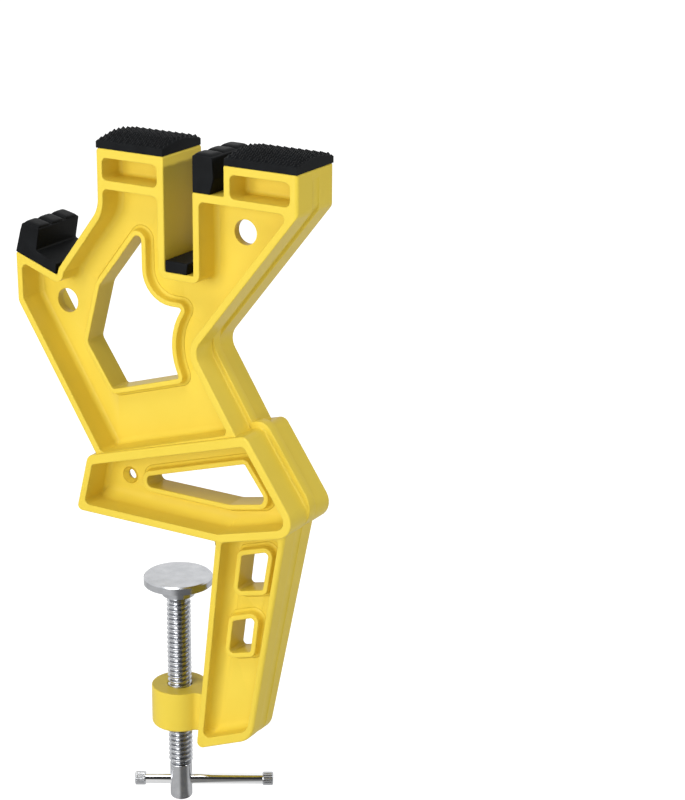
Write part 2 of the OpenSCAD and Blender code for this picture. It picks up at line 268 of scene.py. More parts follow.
# Clamp frame. One injection moulding of glass-filled nylon: two pockets front and back
# leave a web in the middle, with raised beads round its windows. Its foot and leg carry
# the boss for the screw.
MM = 0.001
BODY_DEPTH, FOOT_DEPTH = 37.5, 42.0
LEG_DEPTH_TOP, LEG_DEPTH_LOW = 32.0, 22.5
LEG_TOP_Z, LEG_LOW_Z = 14.0, -139.0
TOP_Z, LEDGE_Z, SLOT_Z = 214.0, 197.0, 150.5
TOWER_LEFT, TOWER_RIGHT = -37.0, 7.0
BLOCK_LEFT, BLOCK_RIGHT = 45.5, 91.3
WEB, BEAD_DEPTH, BEAD_WIDTH = 5.0, 15.5, 3.0
POCKET_ROUND, BEAD_ROUND = 0.6, 0.7
BEAD_ROOT, BEAD_OVERLAP = 2.0, 0.5
DRAFT = 0.3
SHARP = 0.05

# Outlines seen from the front, counter-clockwise. A row is x, z, the corner's radius
# and the width of the rim along the edge that starts at that corner.
body_outline = np.array(
    [
        [-40.7, 32.5, 0.3, 4.0],
        [53.7, 61.5, 0.3, 4.2],
        [24.7, 107.5, 10, 4.2],
        [BLOCK_RIGHT, 191.7, 6, 4.8],
        [BLOCK_RIGHT, TOP_Z, 1.5, 4.6],
        [BLOCK_LEFT, TOP_Z, 1, 4],
        [BLOCK_LEFT, LEDGE_Z, 0.8, 4.8],
        [25.5, LEDGE_Z, 1, 4.2],
        [25.5, SLOT_Z, 1, 4],
        [TOWER_RIGHT, SLOT_Z, 1, 4.4],
        [TOWER_RIGHT, TOP_Z, 1.5, 5.2],
        [TOWER_LEFT, TOP_Z, 2, 3.6],
        [TOWER_LEFT, 179.7, 18, 4],
        [-65.2, 142.2, 3, 4],
        [-66.5, 138, 0.5, 4.4],
        [-94.9, 147.8, 1, 3.7],
        [-94.5, 118.7, 7, 4.2],
    ]
)
foot_outline = np.array(
    [
        [-56, 0, 3, 4.6],
        [43, 0, 1, 5],
        [95.3, 14, 10.4, 4.7],
        [60, 66, 5, 5.6],
        [-47.3, 34.6, 6, 4.3],
    ]
)
leg_outline = np.array(
    [
        [18.4, -138.2, 3, 5.5],
        [56.6, -122.4, 13, 3.3],
        [82.6, 13.8, 0.3, 3.7],
        [43, 2.2, 0.3, 3.7],
        [36.8, 2.2, 0.3, 3.8],
    ]
)


def edges_of(outline):
    """Unit vectors along the edge that leaves each corner."""
    step = np.roll(outline[:, :2], -1, axis=0) - outline[:, :2]
    return step / np.linalg.norm(step, axis=1)[:, None]


def left_of(vectors):
    """The vectors turned a quarter to the left, which points into an outline."""
    return np.stack([-vectors[:, 1], vectors[:, 0]], axis=1)


def cross_of(a, b):
    return a[:, 0] * b[:, 1] - a[:, 1] * b[:, 0]


def moved(outline, shift):
    """The outline after each edge has moved inwards by its shift. A corner is where its two
    moved edges meet; its radius shrinks by the shift where it is convex and grows where not."""
    after = edges_of(outline)
    before = np.roll(after, 1, axis=0)
    shift = np.broadcast_to(np.asarray(shift, float), len(outline))
    start = outline[:, :2] + left_of(before) * np.roll(shift, 1)[:, None]
    end = outline[:, :2] + left_of(after) * shift[:, None]
    along = cross_of(end - start, after) / cross_of(before, after)
    convex = cross_of(before, after) > 0
    radius = outline[:, 2] - np.where(convex, shift, -shift)
    corner = start + before * along[:, None]
    return np.column_stack([corner, np.maximum(radius, SHARP)])


LEAST_POCKET_RADIUS = 3.0


def pocket_of(outline):
    """The outline of the pocket inside the rims of a wall outline."""
    inner = moved(outline, outline[:, 3])
    after = edges_of(outline)
    convex = cross_of(np.roll(after, 1, axis=0), after) > 0
    wide = np.maximum(inner[:, 2], LEAST_POCKET_RADIUS)
    inner[:, 2] = np.where(convex, wide, inner[:, 2])
    return inner


ARC_STEPS = 8


def ring(outline, stations=()):
    """A closed ring of points. Each corner is an arc about a centre that lies one radius
    inside both edges: point = centre - normal * r * cos(t) + edge * r * sin(t), with t from
    nothing to the corner's turn. stations gives edges extra points, as shares of the
    straight run between two arcs."""
    after = edges_of(outline)
    before = np.roll(after, 1, axis=0)
    turn = np.arctan2(cross_of(before, after), np.sum(before * after, axis=1))
    side = np.sign(turn)
    radius = outline[:, 2]
    centre = outline[:, :2] - before * (radius * np.tan(np.abs(turn) / 2))[:, None]
    centre = centre + left_of(before) * (radius * side)[:, None]
    angle = turn[:, None] * np.linspace(0, 1, ARC_STEPS + 1)[None, :]
    reach = (radius * side)[:, None, None]
    arcs = centre[:, None, :] - left_of(before)[:, None, :] * reach * np.cos(angle)[:, :, None]
    arcs = arcs + before[:, None, :] * reach * np.sin(angle)[:, :, None]
    runs = []
    for i in range(len(outline)):
        runs.append(arcs[i])
        if i in stations:
            share = np.array(stations[i])[:, None]
            runs.append(arcs[i, -1] * (1 - share) + arcs[(i + 1) % len(outline), 0] * share)
    return np.concatenate(runs)


def spread(values, stations=()):
    """Each edge's value carried to the points of ring(): a corner's arc runs from the value
    of the edge before it to that of the edge after it."""
    after = np.asarray(values, float)
    before = np.roll(after, 1)
    share = np.linspace(0, 1, ARC_STEPS + 1)
    runs = []
    for i in range(len(after)):
        runs.append(before[i] * (1 - share) + after[i] * share)
        if i in stations:
            runs.append(np.full(len(stations[i]), after[i]))
    return np.concatenate(runs)


def quarter(count):
    """Pairs 1 - cos(a) and 1 - sin(a) for angles from nothing to a quarter turn."""
    angle = np.linspace(0, math.pi / 2, count)
    return np.stack([1 - np.cos(angle), 1 - np.sin(angle)], axis=1)


def unit_circle(count):
    """Points (cos a, sin a) for angles all the way round."""
    angle = np.linspace(0, 2 * math.pi, count, endpoint=False)
    return np.stack([np.cos(angle), np.sin(angle)], axis=1)


def fill(rings):
    """Triangles that close the flat region inside the first ring and outside the others.
    Returns the points of all the rings, one after the other, and the triangles."""
    points = np.concatenate(rings)
    edges = []
    start = 0
    for loop in rings:
        index = np.arange(len(loop)) + start
        edges.append(np.stack([index, np.roll(index, -1)], axis=1))
        start += len(loop)
    flat = np.column_stack([points[:, 0], np.zeros(len(points)), points[:, 1]])
    mesh = bpy.data.meshes.new("fill")
    mesh.from_pydata(flat.tolist(), np.concatenate(edges).tolist(), [])
    work = bmesh.new()
    work.from_mesh(mesh)
    bmesh.ops.triangle_fill(work, edges=work.edges[:], use_beauty=True, normal=(0, -1, 0))
    work.to_mesh(mesh)
    work.free()
    triangles = np.zeros(len(mesh.polygons) * 3, np.int32)
    mesh.polygons.foreach_get("vertices", triangles)
    bpy.data.meshes.remove(mesh)
    return points, triangles.reshape(-1, 3)


WELD_WITHIN, DEGENERATE_WITHIN = 2e-6, 1e-6


class Patches:
    """Surfaces of one piece, gathered as arrays in millimetres until they make one mesh."""

    def __init__(self):
        self.points = []
        self.faces = []
        self.count = 0

    def put(self, points, faces):
        self.points.append(np.asarray(points, float))
        self.faces.extend((np.asarray(faces) + self.count).tolist())
        self.count += len(points)

    def grid(self, points, closed=True):
        """Quads over points[row, column]; closed joins the last column to the first."""
        rows, columns = points.shape[:2]
        index = np.arange(rows * columns).reshape(rows, columns)
        ahead = np.roll(index, -1, axis=1)
        if not closed:
            index, ahead = index[:, :-1], ahead[:, :-1]
        quads = np.stack([index[:-1], ahead[:-1], ahead[1:], index[1:]], axis=-1)
        self.put(points.reshape(-1, 3), quads.reshape(-1, 4))

    def mirrored(self):
        """The same patches again on the other side of the plane y = 0."""
        other = [[n + self.count for n in reversed(face)] for face in self.faces]
        self.points = self.points + [p * (1, -1, 1) for p in self.points]
        self.faces = self.faces + other
        self.count *= 2
        return self

    def mesh(self, name):
        """One merged mesh in metres whose faces point outwards."""
        mesh = bpy.data.meshes.new(name)
        mesh.from_pydata((np.concatenate(self.points) * MM).tolist(), [], self.faces)
        work = bmesh.new()
        work.from_mesh(mesh)
        bmesh.ops.remove_doubles(work, verts=work.verts[:], dist=WELD_WITHIN)
        bmesh.ops.dissolve_degenerate(work, edges=work.edges[:], dist=DEGENERATE_WITHIN)
        bmesh.ops.recalc_face_normals(work, faces=work.faces[:])
        work.to_mesh(mesh)
        work.free()
        return mesh


NORMAL_WEIGHT = 60


def piece(name, patches, material, body, slot, *nodes, smooth=True):
    """An object of the patches with its finish, its body and the nodes it replaces."""
    mesh = patches.mesh(name)
    mesh.materials.append(material)
    mesh.polygons.foreach_set("use_smooth", np.full(len(mesh.polygons), smooth))
    made = bpy.data.objects.new(name, mesh)
    bpy.context.collection.objects.link(made)
    if smooth:
        weights = made.modifiers.new("even_normals", "WEIGHTED_NORMAL")
        weights.mode = "FACE_AREA"
        weights.weight = NORMAL_WEIGHT
    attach(made, body)
    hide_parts(*nodes)
    return made


def lifted(plan, y):
    """Points of a plan seen from the front, x and z, at the given y."""
    return np.column_stack([plan[:, 0], np.broadcast_to(y, len(plan)), plan[:, 1]])


def half_depth(z, depths):
    """Half the depth at height z, even or on a straight run between two heights."""
    if np.isscalar(depths):
        return np.full(np.shape(z), depths / 2)
    (z_low, low), (z_high, high) = depths
    return (low + (high - low) * (z - z_low) / (z_high - z_low)) / 2


EDGE_ROUND = 0.8
BAND_HALF, BAND_ROUND, BAND_ROOT = 3.2, 0.35, 1.2


def wall_patches(shell, outline, depths, rounds, stations, band, steps, band_half=BAND_HALF):
    """The outer wall of a moulding from its middle plane to its front edge, which is rounded
    by rounds along each edge. Round the middle plane the wall is a band that stands out by
    steps along each edge, or lies in where a step is negative, between the two points of the
    ring that band holds. Returns the ring that the front face starts from."""
    base = ring(outline, stations)
    steps = np.asarray(steps, float)
    gap = np.linalg.norm(np.roll(base, -1, axis=0) - base, axis=1)
    distance = np.cumsum(gap) - gap
    first, last = (distance[np.argmin(np.linalg.norm(base - p, axis=1))] for p in band)
    present = ((distance >= first) & (distance <= last))[:, None]
    out = ring(moved(outline, -steps), stations)
    edge = ring(moved(outline, -steps + BAND_ROUND * np.sign(steps)), stations)
    root = np.minimum(np.abs(steps), BAND_ROOT)
    rows = [(out, 0.0), (out, band_half - BAND_ROUND), (edge, band_half)]
    for inward, short in quarter(5)[::-1]:
        plan = ring(moved(outline, -np.sign(steps) * root * inward), stations)
        rows.append((plan, band_half + spread(root, stations) * short))
    rows = [lifted(np.where(present, plan, base), -y) for plan, y in rows]
    shell.grid(np.stack(rows))
    rounds = np.broadcast_to(np.asarray(rounds, float), len(outline))
    rows = [rows[-1]]
    for inward, short in quarter(6):
        plan = ring(moved(outline, inward * rounds), stations)
        front = half_depth(plan[:, 1], depths) - short * spread(rounds, stations)
        rows.append(lifted(plan, -front))
    shell.grid(np.stack(rows))
    return plan


def pocket_patches(shell, outline, depths, roots):
    """The wall of a pocket: a rounded upper edge, a drafted wall and a root fillet whose
    radius is given for each edge. Returns the rings at the front face and at the web."""
    rows = []
    for inward, short in quarter(4):
        plan = ring(moved(outline, -short * POCKET_ROUND))
        front = half_depth(plan[:, 1], depths) - inward * POCKET_ROUND
        rows.append(lifted(plan, -front))
    rim = ring(moved(outline, -POCKET_ROUND))
    roots = np.broadcast_to(np.asarray(roots, float), len(outline))
    for inward, short in quarter(7):
        plan = ring(moved(outline, DRAFT + roots * inward))
        rows.append(lifted(plan, -(WEB / 2 + spread(roots) * short)))
    shell.grid(np.stack(rows))
    return rim, plan


def window_patches(shell, outline):
    """A window through the web with its raised bead, a ring of its own that the web runs
    into. Returns the ring at which the web ends inside the bead."""
    top = BEAD_DEPTH / 2
    rows = [lifted(ring(outline), 0.0)]
    for inward, short in quarter(4):
        plan = ring(moved(outline, -BEAD_ROUND * inward))
        rows.append(lifted(plan, BEAD_ROUND * short - top))
    for inward, short in quarter(4)[::-1]:
        plan = ring(moved(outline, BEAD_ROUND * inward - BEAD_WIDTH))
        rows.append(lifted(plan, BEAD_ROUND * short - top))
    for inward, short in quarter(5):
        plan = ring(moved(outline, -(BEAD_WIDTH + DRAFT + BEAD_ROOT * inward)))
        rows.append(lifted(plan, -(WEB / 2 + BEAD_ROOT * short)))
    rows.append(lifted(plan, 0.0))
    shell.grid(np.stack(rows))
    hidden = ring(moved(outline, -BEAD_OVERLAP))
    shell.grid(np.stack([lifted(hidden, 0.0), lifted(hidden, -WEB / 2)]))
    return hidden


HOLE_STEPS = 48
HOLE_EDGE, LAND, COUNTERSINK = 0.4, 0.4, 0.6


def hole_patches(shell, centre, radius, collar=0.0, collar_depth=0.0):
    """A round hole through the web, or with a raised collar and countersunk from both sides.
    Its rows are circles: centre + radius * (cos a, sin a). Returns its ring in the web."""
    face = max(WEB, collar_depth) / 2
    rounding = quarter(3) * HOLE_EDGE
    profile = [(radius, 0.0)]
    if collar:
        profile += [(radius, LAND), (radius + (face - LAND) * COUNTERSINK, face)]
        profile += [(collar - i, face - s) for i, s in rounding[::-1]]
        profile += [(collar + i, WEB / 2 + s) for i, s in rounding]
    else:
        profile += [(radius + i, face - s) for i, s in rounding]
    rings = [np.array(centre) + unit_circle(HOLE_STEPS) * r for r, y in profile]
    shell.grid(np.stack([lifted(plan, -y) for plan, (r, y) in zip(rings, profile)]))
    return rings[-1]


def face_patch(shell, rings, depths=None):
    """A flat face between rings: the front face of the rims, or the web when depths is None."""
    points, triangles = fill(rings)
    y = WEB / 2 if depths is None else half_depth(points[:, 1], depths)
    shell.put(lifted(points, -y), triangles)


frame_patches = Patches()

# Upper body: its main pocket ends below a crossbar in each of the two towers, and each
# tower has a small pocket above its crossbar. In the main pocket's outline the slope runs
# on past the block's lower corner, up to the ledge's height.
CROSSBAR_TOP = 196.4
MAIN_ROOT, TOP_ROOT = 3.0, 2.0
WEB_HOLE = 7.0
web_hole_centres = [(48.9, 174.7), (-71.6, 118.5)]
big_window = np.array(
    [
        [-37.7, 72.4, 2],
        [7.6, 86.4, 1.5],
        [-1.1, 108.9, 38],
        [10.3, 127.4, 1.2],
        [-16, 127.3, 19],
        [-16.3, 169.8, 2.7],
        [-45.4, 132.3, 8],
        [-54.7, 97.9, 4],
    ]
)
main_walls = np.concatenate(
    [
        body_outline[:3],
        [[95.5, LEDGE_Z, 0, 4.8]],
        body_outline[7:10],
        [[TOWER_RIGHT, CROSSBAR_TOP, 0, 5.0], [TOWER_LEFT, CROSSBAR_TOP, 0, 3.6]],
        body_outline[12:],
    ]
)


def top_walls(left, right, rims):
    """The outline of the pocket above a crossbar, between a left and a right wall. rims are
    the widths of the right, upper and left rims. Below, the pocket starts on the crossbar."""
    return np.array(
        [
            [left, CROSSBAR_TOP, 0, 0],
            [right, CROSSBAR_TOP, 0, rims[0]],
            [right, TOP_Z, 0, rims[1]],
            [left, TOP_Z, 0, rims[2]],
        ]
    )


# The band starts at the foot and ends on the top block, whose right side is straight from
# BLOCK_LOW to BLOCK_HIGH. It stands out below the waist and lies in above it. Extra points
# about its end let it stop within half a millimetre.
BAND_TOP = 209.0
BLOCK_LOW, BLOCK_HIGH = 193.8, 212.5
BLOCK_ROUND = 2.4
body_stations = {3: (BAND_TOP + np.array([-0.5, 0, 0.3]) - BLOCK_LOW) / (BLOCK_HIGH - BLOCK_LOW)}
body_rounds = np.full(len(body_outline), EDGE_ROUND)
body_rounds[3] = BLOCK_ROUND
body_steps = np.zeros(len(body_outline))
body_steps[1:4] = [3.0, -1.7, -0.4]
body_band = (body_outline[1, :2], [BLOCK_RIGHT, BAND_TOP])
outer = wall_patches(
    frame_patches,
    body_outline,
    BODY_DEPTH,
    body_rounds,
    body_stations,
    body_band,
    body_steps,
)
rim, web_edge = pocket_patches(frame_patches, pocket_of(main_walls), BODY_DEPTH, MAIN_ROOT)
bead = window_patches(frame_patches, big_window)
holes = [hole_patches(frame_patches, centre, WEB_HOLE) for centre in web_hole_centres]
face_patch(frame_patches, [web_edge, bead, *holes])
body_rims = [outer, rim]
for walls in (
    top_walls(TOWER_LEFT, TOWER_RIGHT, (4.4, 5.2, 3.6)),
    top_walls(BLOCK_LEFT, BLOCK_RIGHT, (4.8, 4.6, 4.0)),
):
    rim, web_edge = pocket_patches(frame_patches, pocket_of(walls), BODY_DEPTH, TOP_ROOT)
    face_patch(frame_patches, [web_edge])
    body_rims.append(rim)
face_patch(frame_patches, body_rims, BODY_DEPTH)

# Foot: it stands proud of the upper body, and its small hole has a raised collar. Its band
# is a little wider than the body's, so that the two don't share a side plane. Extra points
# on its right and upper edges let the band start and stop there.
FOOT_ROUND, FOOT_STEP, FOOT_BAND_HALF = 1.0, 3.8, 3.25
TIE_HOLE, COLLAR, COLLAR_DEPTH = 2.75, 5.0, 7.0
tie_hole_centre = (-30.3, 20.4)
foot_stations = {1: [0.9, 0.95], 3: [0.1, 0.2]}
foot_band = ([76.5, 9.0], [48.0, 62.5])
foot_roots = [7.0, 6.0, 3.0, 3.0, 3.0]
foot_window = np.array(
    [[-15.3, 17.9, 3], [40.5, 17.9, 8], [66, 23.2, 4], [50.6, 43.9, 1.5], [-15.3, 24, 2.8]]
)
outer = wall_patches(
    frame_patches,
    foot_outline,
    FOOT_DEPTH,
    FOOT_ROUND,
    foot_stations,
    foot_band,
    [0, 0, FOOT_STEP, FOOT_STEP, 0],
    FOOT_BAND_HALF,
)
rim, web_edge = pocket_patches(frame_patches, pocket_of(foot_outline), FOOT_DEPTH, foot_roots)
face_patch(frame_patches, [outer, rim], FOOT_DEPTH)
bead = window_patches(frame_patches, foot_window)
hole = hole_patches(frame_patches, tie_hole_centre, TIE_HOLE, COLLAR, COLLAR_DEPTH)
face_patch(frame_patches, [web_edge, bead, hole])

# Leg: both its faces lean in towards the lower end, and its band lies in. Extra points on
# the lower edge, whose straight run is LEG_END_RUN, let the band start there; they are
# given by their distance from its right end. The pocket's upper wall runs along the
# foot's sloping underside.
leg_depths = ((LEG_LOW_Z, LEG_DEPTH_LOW), (LEG_TOP_Z, LEG_DEPTH_TOP))
leg_windows = [
    np.array([[45.5, -33.3, 2], [62.4, -29, 2], [66.4, -5.3, 2], [48.5, -11, 2]]),
    np.array([[39.6, -73.2, 2], [54, -69.1, 2], [57, -47.2, 2], [42.4, -52.5, 2]]),
]
LEG_END_RUN = 29.0
LEG_ROUND, LEG_STEP = 2.4, -0.6
from_right_end = np.array([6.0, 4.0, 3.97, 3.8, 3.4, 2.8, 2.0, 1.0])
leg_stations = {0: 1 - from_right_end / LEG_END_RUN}
leg_band = (ring(leg_outline, leg_stations)[ARC_STEPS + 2], leg_outline[2, :2])
outer = wall_patches(
    frame_patches,
    leg_outline,
    leg_depths,
    [EDGE_ROUND, LEG_ROUND, EDGE_ROUND, EDGE_ROUND, EDGE_ROUND],
    leg_stations,
    leg_band,
    [0, LEG_STEP, 0, 0, 0],
)
leg_walls = np.concatenate([leg_outline[:3], [[36.6, 0.33, 0.3, 3.8]]])
leg_roots = [4.0, 3.0, 3.0, 6.0]
rim, web_edge = pocket_patches(frame_patches, pocket_of(leg_walls), leg_depths, leg_roots)
face_patch(frame_patches, [outer, rim], leg_depths)
beads = [window_patches(frame_patches, window) for window in leg_windows]
face_patch(frame_patches, [web_edge, *beads])

# Fillet between the seat and the leg. Its other sides are buried in the foot and the leg.
JAW_ROUND, JAW_BURIED, JAW_OVERLAP = 4.0, 2.0, 0.1
low, high = leg_outline[0, :2], leg_outline[4, :2]
seat_corner = high - (high - low) * high[1] / (high - low)[1]
down_leg = edges_of(leg_outline)[4]
jaw_turn = math.acos(down_leg[0])
jaw_reach = JAW_ROUND * math.tan(jaw_turn / 2)
jaw_start = seat_corner - [jaw_reach, 0]
jaw_end = seat_corner + down_leg * jaw_reach
jaw_outline = np.array(
    [
        [*(jaw_end + down_leg * JAW_OVERLAP), SHARP],
        [*(jaw_end + [JAW_BURIED, 0]), SHARP],
        [*(seat_corner + [JAW_BURIED, JAW_BURIED]), SHARP],
        [*(jaw_start + [0, JAW_BURIED]), SHARP],
        [*(jaw_start - [JAW_OVERLAP, 0]), SHARP],
        [*seat_corner, JAW_ROUND],
    ]
)
jaw = ring(jaw_outline)
jaw_front = half_depth(jaw[:, 1], leg_depths) - JAW_OVERLAP
frame_patches.grid(np.stack([lifted(jaw, 0.0), lifted(jaw, -jaw_front)]))
points, triangles = fill([jaw])
frame_patches.put(lifted(points, -jaw_front), triangles)
frame_patches.mirrored()

# Boss for the screw: a round barrel, made of five arcs, with a narrower neck to the leg.
# The neck flares where it meets the leg's face and ends inside the leg's wall. joined is
# the angle from the neck at which its fillets meet the barrel.
BOSS_RADIUS, BORE_RADIUS = 16.5, 7.08
BOSS_TOP, BOSS_LOW = -104.8, -129.3
BOSS_TOP_ROUND, BOSS_LOW_ROUND = 0.7, 2.0
NECK_HALF, NECK_FILLET = 6.5, 4.0
NECK_END, FLARE_HALF, FLARE_END = 22.3, 7.8, 23.1
BARREL_ARCS = 5
joined = math.asin((NECK_HALF + NECK_FILLET) / (BOSS_RADIUS + NECK_FILLET))
sweep = (math.pi - joined) / BARREL_ARCS
around = joined + sweep * (2 * np.arange(BARREL_ARCS) + 1)
barrel = np.stack([np.cos(around), np.sin(around)], axis=1) * BOSS_RADIUS / math.cos(sweep)
neck_x = BOSS_RADIUS * math.cos(joined) + math.tan(joined) * (
    BOSS_RADIUS * math.sin(joined) - NECK_HALF
)
boss_outline = np.array(
    [
        [neck_x, -NECK_HALF, NECK_FILLET],
        [NECK_END, -NECK_HALF, 1.5],
        [FLARE_END, -FLARE_HALF, SHARP],
        [FLARE_END, FLARE_HALF, SHARP],
        [NECK_END, NECK_HALF, 1.5],
        [neck_x, NECK_HALF, NECK_FILLET],
        *[[x, y, BOSS_RADIUS] for x, y in barrel],
    ]
)


def level_at(plan, z):
    """Points of a plan seen from above, x and y, at height z."""
    return np.column_stack([plan, np.full(len(plan), z)])


rows = []
for inward, short in quarter(6)[::-1]:
    plan = ring(moved(boss_outline, BOSS_LOW_ROUND * inward))
    rows.append(level_at(plan, BOSS_LOW + BOSS_LOW_ROUND * short))
low_ring = rows[0][:, :2]
for inward, short in quarter(4):
    plan = ring(moved(boss_outline, BOSS_TOP_ROUND * inward))
    rows.append(level_at(plan, BOSS_TOP - BOSS_TOP_ROUND * short))
frame_patches.grid(np.stack(rows))
CHAMFER, BORE_STEPS = 0.4, 96
mouth = unit_circle(BORE_STEPS) * (BORE_RADIUS + CHAMFER)
bore = unit_circle(BORE_STEPS) * BORE_RADIUS
frame_patches.grid(
    np.stack(
        [
            level_at(mouth, BOSS_TOP),
            level_at(bore, BOSS_TOP - CHAMFER),
            level_at(bore, BOSS_LOW + CHAMFER),
            level_at(mouth, BOSS_LOW),
        ]
    )
)
for outside, z in ((plan, BOSS_TOP), (low_ring, BOSS_LOW)):
    points, triangles = fill([outside, mouth])
    frame_patches.put(level_at(points, z), triangles)

CLOUD_EDGES = (0.3, 0.7)
NYLON_COLOURS = ((0.745, 0.56, 0.06, 1), (0.767, 0.585, 0.07, 1))
nylon = Finish(bpy.data.materials.new("yellow_nylon"))
place = nylon.out(nylon.add("ShaderNodeTexCoord"), "Object")
flow = nylon.noise(place, scale=28.0, detail=3.0)
grain = nylon.noise(place, scale=2600.0, detail=2.0)
colour = nylon.mix(flow.within(*CLOUD_EDGES), *NYLON_COLOURS)
principled = nylon.add(
    "ShaderNodeBsdfPrincipled",
    Base_Color=colour,
    Roughness=0.3 + grain * 0.12,
    Normal=nylon.bump(grain, distance=0.00004, strength=0.25),
    Specular_IOR_Level=0.18,
)
yellow = nylon.close(principled)
piece("clamp_frame_moulding", frame_patches, yellow, "frame", "frame_plastic", "clamp_frame")


# Top pads. Two crowned blocks of black rubber bonded to the flat tops; their upper side is
# moulded into rows of small blunt studs, so that a ski doesn't slip.
PAD_HEIGHT, PAD_FALL, PAD_STRIP = 8.1, 2.6, 4.0
STUD_HEIGHT = 1.8
STUD_BORDER, STUD_GAP = 0.7, 0.1
STUDS_ACROSS, STUDS_DEEP = 10, 9
PAD_DEPTH = BODY_DEPTH

# A stud's height over the distance from its tip, which is counted in pitches
STUD_AWAY = np.array([0, 0.06, 0.15, 0.44, 0.5])
STUD_RISE = np.array([1, 1, 0.78, 0.05, 0])


def stud_lines(low, high, count):
    """Grid lines across count studs: their tips, shoulders and valleys, and the pad's border."""
    pitch = (high - low) / count
    share = np.concatenate([STUD_AWAY, 1 - STUD_AWAY[-2:0:-1]])
    lines = low + pitch * (np.arange(count)[:, None] + share[None, :]).ravel()
    clear = STUD_BORDER + STUD_GAP
    lines = lines[(lines > low + clear) & (lines < high - clear)]
    return np.concatenate([[low, low + STUD_BORDER], lines, [high - STUD_BORDER, high]])


def top_pad(name, node, x_low, x_high):
    """A block whose upper side is a grid of heights. Studs stand on the corners and in the
    middle of every cell; a stud's height falls with the distance from its tip, counted along
    x and y in pitches and added up. It dies out at the border, and the whole crown falls
    away from its middle strip to the front and the back."""
    x = stud_lines(x_low, x_high, STUDS_ACROSS)
    y = stud_lines(-PAD_DEPTH / 2, PAD_DEPTH / 2, STUDS_DEEP)
    u = (x - x_low) / (x_high - x_low) * STUDS_ACROSS
    v = (y + PAD_DEPTH / 2) / PAD_DEPTH * STUDS_DEEP
    u, v = np.meshgrid(u, v, indexing="ij")
    on_corner = np.abs(u - np.round(u)) + np.abs(v - np.round(v))
    in_middle = np.abs(u % 1 - 0.5) + np.abs(v % 1 - 0.5)
    away = np.minimum(on_corner, in_middle)
    stud = np.interp(away, STUD_AWAY, STUD_RISE)
    grid_x, grid_y = np.meshgrid(x, y, indexing="ij")
    inside = np.minimum(
        np.minimum(grid_x - x_low, x_high - grid_x), PAD_DEPTH / 2 - np.abs(grid_y)
    )
    stud = stud * np.clip(inside / STUD_BORDER, 0, 1)
    slope = np.clip((np.abs(grid_y) - PAD_STRIP) / (PAD_DEPTH / 2 - PAD_STRIP), 0, 1)
    z = TOP_Z + PAD_HEIGHT - PAD_FALL * slope - STUD_HEIGHT * (1 - stud)
    points = np.stack([grid_x, grid_y, z], axis=-1)
    rows, columns = z.shape
    index = np.arange(rows * columns).reshape(rows, columns)
    a, b, c, d = index[:-1, :-1], index[1:, :-1], index[1:, 1:], index[:-1, 1:]
    level = np.abs(z[:-1, :-1] - z[1:, 1:]) < np.abs(z[1:, :-1] - z[:-1, 1:])
    split = np.where(
        level[..., None],
        np.stack([a, b, c, a, c, d], axis=-1),
        np.stack([a, b, d, b, c, d], axis=-1),
    )
    shell = Patches()
    shell.put(points.reshape(-1, 3), split.reshape(-1, 3))
    border = np.concatenate(
        [points[:-1, 0], points[-1, :-1], points[:0:-1, -1], points[0, :0:-1]]
    )
    lower_edge = border * (1, 1, 0) + (0, 0, TOP_Z)
    shell.grid(np.stack([border, lower_edge]))
    plan, triangles = fill([lower_edge[:, :2]])
    shell.put(level_at(plan, TOP_Z), triangles)
    made = piece(name, shell, rubber, "frame", "pad_rubber", node, smooth=False)


RUBBER_COLOURS = ((0.0022, 0.0026, 0.0032, 1), (0.005, 0.006, 0.007, 1))
black = Finish(bpy.data.materials.new("black_rubber"))
place = black.out(black.add("ShaderNodeTexCoord"), "Object")
mottle = black.noise(place, scale=120.0, detail=4.0)
grain = black.noise(place, scale=1800.0, detail=2.0)
colour = black.mix(mottle.within(*CLOUD_EDGES), *RUBBER_COLOURS)
principled = black.add(
    "ShaderNodeBsdfPrincipled",
    Base_Color=colour,
    Roughness=0.42 + grain * 0.2,
    Normal=black.bump(grain, distance=0.00008, strength=0.4),
    Specular_IOR_Level=0.09,
)
rubber = black.close(principled)
top_pad("top_pad_left_studded", "top_pad_left", -37.0, 6.5)
top_pad("top_pad_right_studded", "top_pad_right", 46.0, 91.0)

# Cradle pad, ledge pad and slot pad. Black rubber blocks bonded to the frame where a ski's
# edge rests; the first two have three flat lugs along their upper edge.
LUG_COUNT, LUG_HEIGHT, LUG_MARGIN = 3, 1.5, 0.9
LUG_SHARE, LUG_STEPS = 0.44, 10
PAD_EDGE = 0.5
ON_EDGE = 0.02


